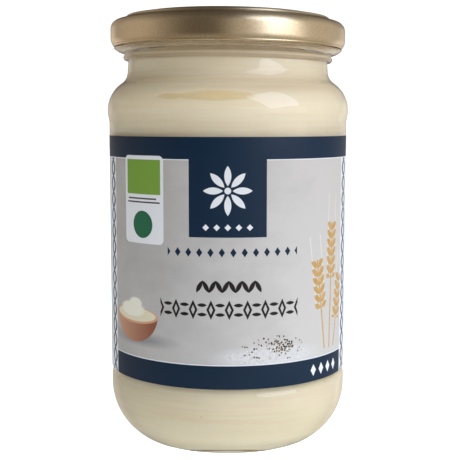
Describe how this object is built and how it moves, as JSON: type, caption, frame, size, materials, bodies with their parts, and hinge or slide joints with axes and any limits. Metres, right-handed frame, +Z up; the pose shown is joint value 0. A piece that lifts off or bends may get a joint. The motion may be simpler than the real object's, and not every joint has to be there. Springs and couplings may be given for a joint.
{
  "type": "mayonnaise jar",
  "caption": "Clear glass grocery jar of mayonnaise, full and shut, with a gold lacquered twist-off lid, a beaded neck and a printed paper label in navy and pale grey wrapped round its side.",
  "frame": {"origin": "The centre of the base on the table, where the jar's axis meets the plane it stands on.", "axes": "+Z runs up the jar's axis. The middle of the label faces -Y, so its lapped seam is at the back on +Y. +X is to the right as the label is read."},
  "size_m": [0.0716, 0.0716, 0.125],
  "materials": {
    "glass": "smooth clear flint glass",
    "mayonnaise": "pale cream, opaque and moist",
    "lid": "satin gold lacquer on tinplate",
    "label": "coated paper, printed"
  },
  "bodies": {
    "root": {"jar": "glass", "mayonnaise": "mayonnaise", "lid": "lid", "label": "label"}
  },
  "joints": []
}
